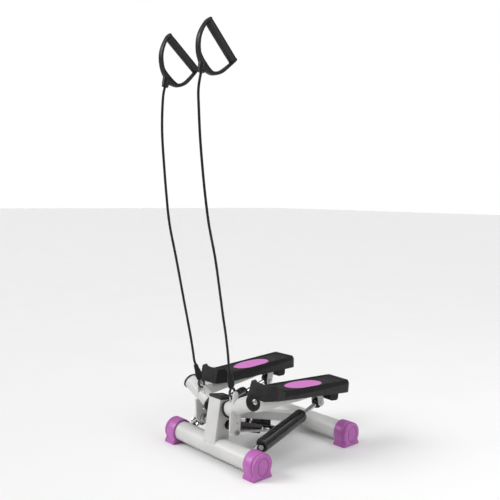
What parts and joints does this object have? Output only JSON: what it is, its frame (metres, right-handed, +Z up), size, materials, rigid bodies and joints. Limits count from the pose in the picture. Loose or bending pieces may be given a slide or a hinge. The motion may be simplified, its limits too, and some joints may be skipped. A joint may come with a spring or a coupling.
{
  "type": "stepper",
  "caption": "Twist stepper with linked pedals on hydraulic dampers, a tubular base on end caps, a step counter and resistance bands with D handles.",
  "frame": {"origin": "on the floor under the middle of the object's bounding box, bands held up as pictured", "axes": "+Z up; +Y to the side the user stands on (pedal heels), -Y to the post and counter; +X to the user's left"},
  "size_m": [0.4, 0.5512, 1.1989],
  "materials": {
    "white_powder_coat": "satin powder coat",
    "purple_plastic": "satin moulded",
    "pink_insert": "fine ribbed",
    "black_plastic": "fine moulded grain",
    "black_rubber": "matte",
    "black_paint": "gloss",
    "chrome": "polished",
    "zinc": "bright zinc plate",
    "steel": "turned",
    "black_webbing": "woven",
    "display_lens": "clear gloss",
    "circuit_board": "plain"
  },
  "bodies": {
    "frame": {"front_cross_tube": "white_powder_coat", "rear_cross_tube": "white_powder_coat", "centre_beam": "white_powder_coat", "front_post": "white_powder_coat", "front_left_foot": "purple_plastic", "front_right_foot": "purple_plastic", "rear_left_foot": "purple_plastic", "rear_right_foot": "purple_plastic", "counter_housing": "black_plastic", "counter_window": "display_lens", "counter_board": "circuit_board", "left_pivot_axle": "steel", "right_pivot_axle": "steel", "left_axle_bolt": "zinc", "right_axle_bolt": "zinc", "left_cylinder_bolt": "zinc", "right_cylinder_bolt": "zinc", "linkage_channel": "black_paint", "channel_bolt": "black_plastic", "spacer_block": "black_plastic", "rocker_bolt": "zinc"},
    "counter_button": {"counter_button": "black_plastic"},
    "adjuster_nut": {"adjuster_nut": "black_plastic"},
    "rocker": {"rocker": "black_plastic"},
    "left_arm": {"left_sleeve": "white_powder_coat", "left_inner_bush": "black_plastic", "left_outer_bush": "black_plastic", "left_lever_bolt": "zinc", "left_support_channel": "white_powder_coat", "left_clevis_bolt": "zinc", "left_pedal": "black_plastic", "left_pedal_insert": "pink_insert", "left_bumper": "black_rubber"},
    "left_tie_rod": {"left_tie_rod": "zinc"},
    "left_cylinder": {"left_cylinder_body": "black_paint"},
    "left_rod": {"left_piston_rod": "chrome", "left_rod_end": "black_plastic"},
    "left_band": {"left_hook": "black_paint", "left_strap": "black_webbing", "left_cord": "black_rubber", "left_handle_frame": "black_plastic"},
    "left_grip": {"left_grip": "black_rubber"},
    "right_arm": {"right_sleeve": "white_powder_coat", "right_inner_bush": "black_plastic", "right_outer_bush": "black_plastic", "right_lever_bolt": "zinc", "right_support_channel": "white_powder_coat", "right_clevis_bolt": "zinc", "right_pedal": "black_plastic", "right_pedal_insert": "pink_insert", "right_bumper": "black_rubber"},
    "right_tie_rod": {"right_tie_rod": "zinc"},
    "right_cylinder": {"right_cylinder_body": "black_paint"},
    "right_rod": {"right_piston_rod": "chrome", "right_rod_end": "black_plastic"},
    "right_band": {"right_hook": "black_paint", "right_strap": "black_webbing", "right_cord": "black_rubber", "right_handle_frame": "black_plastic"},
    "right_grip": {"right_grip": "black_rubber"}
  },
  "joints": [
    {"name": "left_pedal_swing", "type": "hinge", "parent": "frame", "child": "left_arm", "pos_m": [0, -0.1131, 0.1312], "axis": [0.9161, 0, 0.401], "range_deg": [-5.5, 10.5]},
    {"name": "right_pedal_swing", "type": "hinge", "parent": "frame", "child": "right_arm", "pos_m": [0, -0.1131, 0.1312], "axis": [0.9161, 0, -0.401], "range_deg": [-10.5, 5.5]},
    {"name": "left_cylinder_swing", "type": "hinge", "parent": "frame", "child": "left_cylinder", "pos_m": [0.14, -0.0929, 0.06], "axis": [0.9161, 0, 0.401], "range_deg": [-5.3, 9.9]},
    {"name": "right_cylinder_swing", "type": "hinge", "parent": "frame", "child": "right_cylinder", "pos_m": [-0.14, -0.0929, 0.06], "axis": [0.9161, 0, -0.401], "range_deg": [-10.1, 5.4]},
    {"name": "left_rod_slide", "type": "slide", "parent": "left_cylinder", "child": "left_rod", "axis": [-0.0795, 0.9655, 0.2478], "range_m": [-0.012, 0.0226]},
    {"name": "right_rod_slide", "type": "slide", "parent": "right_cylinder", "child": "right_rod", "axis": [0.1115, 0.9413, 0.3186], "range_m": [-0.0227, 0.0121]},
    {"name": "rocker_turn", "type": "hinge", "parent": "frame", "child": "rocker", "pos_m": [0, 0.06898, 0.04963], "axis": [0, 0.314, 0.9494], "range_deg": [-11.4, 21.6]},
    {"name": "left_tie_rod_swing", "type": "hinge", "parent": "left_arm", "child": "left_tie_rod", "pos_m": [0.0689, -0.12007, 0.09422], "axis": [0.8276, -0.3923, 0.4015], "range_deg": [-14.2, 7.5]},
    {"name": "right_tie_rod_swing", "type": "hinge", "parent": "right_arm", "child": "right_tie_rod", "pos_m": [-0.06905, -0.11472, 0.09388], "axis": [0.8336, 0.3777, -0.403], "range_deg": [-7.6, 14.3]},
    {"name": "left_band_swing", "type": "hinge", "parent": "left_arm", "child": "left_band", "pos_m": [0.06579, -0.12442, 0.19758], "axis": [0.9161, 0, 0.401], "range_deg": [-10.6, 5.6]},
    {"name": "right_band_swing", "type": "hinge", "parent": "right_arm", "child": "right_band", "pos_m": [-0.06624, -0.12735, 0.19656], "axis": [0.9161, 0, -0.401], "range_deg": [-5.6, 10.6]},
    {"name": "left_grip_spin", "type": "hinge", "parent": "left_band", "child": "left_grip", "pos_m": [0.087, -0.1984, 1.14375], "axis": [0, -0.6884, 0.7253], "continuous": true},
    {"name": "right_grip_spin", "type": "hinge", "parent": "right_band", "child": "right_grip", "pos_m": [-0.087, -0.191, 1.1375], "axis": [0, 0.7779, -0.6284], "continuous": true},
    {"name": "adjuster_turn", "type": "hinge", "parent": "frame", "child": "adjuster_nut", "pos_m": [0, -0.0039, 0.08252], "axis": [0, 0, 1], "continuous": true},
    {"name": "counter_button_press", "type": "slide", "parent": "frame", "child": "counter_button", "axis": [0, -0.165, -0.9863], "range_m": [0, 0.0007], "stiffness_N_per_m": 900, "springref_m": -0.0005}
  ],
  "couplings": [
    {"joint": "right_pedal_swing", "follows": "left_pedal_swing", "ratio": -1},
    {"joint": "left_cylinder_swing", "follows": "left_pedal_swing", "ratio": 0.93279},
    {"joint": "right_cylinder_swing", "follows": "left_pedal_swing", "ratio": -0.94531},
    {"joint": "left_rod_slide", "follows": "left_pedal_swing", "m_per_rad": 0.1212},
    {"joint": "right_rod_slide", "follows": "left_pedal_swing", "m_per_rad": -0.12172},
    {"joint": "rocker_turn", "follows": "left_pedal_swing", "ratio": 2.0349},
    {"joint": "left_tie_rod_swing", "follows": "left_pedal_swing", "ratio": -1.325},
    {"joint": "right_tie_rod_swing", "follows": "left_pedal_swing", "ratio": 1.3388},
    {"joint": "left_band_swing", "follows": "left_pedal_swing", "ratio": -1},
    {"joint": "right_band_swing", "follows": "left_pedal_swing", "ratio": 1}
  ]
}
